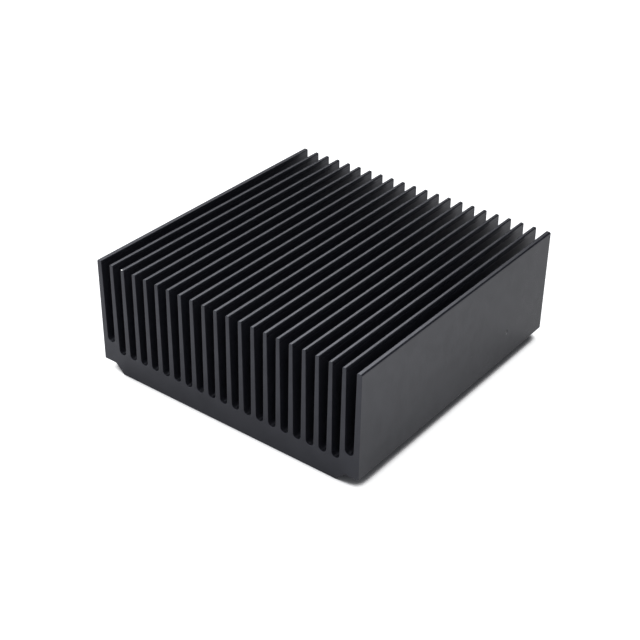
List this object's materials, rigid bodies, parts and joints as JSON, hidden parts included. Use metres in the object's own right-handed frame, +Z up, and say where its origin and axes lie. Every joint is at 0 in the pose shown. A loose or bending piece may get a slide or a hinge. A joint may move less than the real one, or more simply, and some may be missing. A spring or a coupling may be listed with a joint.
{
  "type": "straight fin heat sink",
  "caption": "Black anodised extruded aluminium heat sink with tall straight fins on a flat base, side walls and rebated lower edges; cools a component pressed to its base face.",
  "frame": {"origin": "middle of the base face, on which the part stands", "axes": "+Z up along the fins' height, Y along the extrusion and its fins, X across the fins"},
  "size_m": [0.117, 0.12, 0.046],
  "materials": {
    "black_anodised": "satin black anodised extrusion with sawn ends"
  },
  "bodies": {
    "root": {"heat_sink": "black_anodised"}
  },
  "joints": []
}
